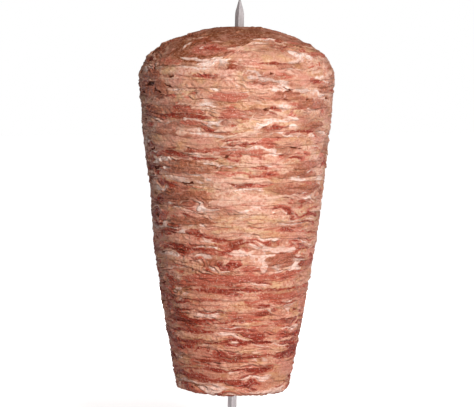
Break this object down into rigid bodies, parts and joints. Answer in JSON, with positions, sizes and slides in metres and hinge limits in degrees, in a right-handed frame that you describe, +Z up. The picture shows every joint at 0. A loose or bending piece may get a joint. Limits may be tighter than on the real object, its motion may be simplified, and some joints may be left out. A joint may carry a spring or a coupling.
{
  "type": "loaded vertical rotisserie spit",
  "caption": "Tapered cone of stacked meat slices and mince layers, threaded on a pointed square steel spit over a base plate held by a removable locking pin.",
  "frame": {"origin": "centre of the bar's flat lower end, which is the drive end", "axes": "+Z up along the bar to its point; X and Y square to the bar's flats, +Y the side on which the locking pin is pulled out"},
  "size_m": [0.3645, 0.3644, 0.9],
  "materials": {
    "spit_steel": "satin",
    "plate_steel": "satin",
    "pin_steel": "gloss",
    "lean_meat": "satin",
    "minced_meat": "satin",
    "fat": "satin",
    "browned_meat": "satin"
  },
  "bodies": {
    "spit": {"spit_bar": "spit_steel"},
    "plate": {"base_plate": "plate_steel", "plate_hub": "plate_steel"},
    "pin": {"locking_pin": "pin_steel"},
    "ring": {"pull_ring": "pin_steel"},
    "meat": {"mince_layer_01": "minced_meat", "meat_slice_02": "lean_meat", "mince_layer_03": "minced_meat", "meat_slice_04": "lean_meat", "fat_slice_05": "fat", "meat_slice_06": "lean_meat", "mince_layer_07": "minced_meat", "meat_slice_08": "lean_meat", "mince_layer_09": "minced_meat", "meat_slice_10": "lean_meat", "fat_slice_11": "fat", "meat_slice_12": "lean_meat", "mince_layer_13": "minced_meat", "meat_slice_14": "lean_meat", "mince_layer_15": "minced_meat", "meat_slice_16": "lean_meat", "fat_slice_17": "fat", "meat_slice_18": "lean_meat", "mince_layer_19": "minced_meat", "meat_slice_20": "lean_meat", "mince_layer_21": "minced_meat", "meat_slice_22": "lean_meat", "fat_slice_23": "fat", "meat_slice_24": "lean_meat", "mince_layer_25": "minced_meat", "meat_slice_26": "lean_meat", "mince_layer_27": "minced_meat", "meat_slice_28": "lean_meat", "fat_slice_29": "fat", "meat_slice_30": "lean_meat", "mince_layer_31": "minced_meat", "meat_slice_32": "lean_meat", "mince_layer_33": "minced_meat", "meat_slice_34": "lean_meat", "fat_slice_35": "fat", "meat_slice_36": "lean_meat", "mince_layer_37": "minced_meat", "meat_slice_38": "lean_meat", "mince_layer_39": "minced_meat", "meat_slice_40": "lean_meat", "fat_slice_41": "fat", "meat_slice_42": "lean_meat", "mince_layer_43": "minced_meat", "meat_slice_44": "lean_meat", "mince_layer_45": "minced_meat", "meat_slice_46": "lean_meat", "fat_slice_47": "fat", "meat_slice_48": "lean_meat", "cap_slice": "browned_meat"}
  },
  "joints": [
    {"name": "plate_lift", "type": "slide", "parent": "spit", "child": "plate", "axis": [0, 0, 1], "range_m": [0, 0.75]},
    {"name": "meat_lift", "type": "slide", "parent": "plate", "child": "meat", "axis": [0, 0, 1], "range_m": [0, 0.75]},
    {"name": "pin_pull", "type": "slide", "parent": "spit", "child": "pin", "axis": [0, 1, 0], "range_m": [0, 0.04]},
    {"name": "ring_swing", "type": "hinge", "parent": "pin", "child": "ring", "pos_m": [0, 0.01265, 0.15845], "axis": [1, 0, 0], "range_deg": [-25, 90]}
  ]
}
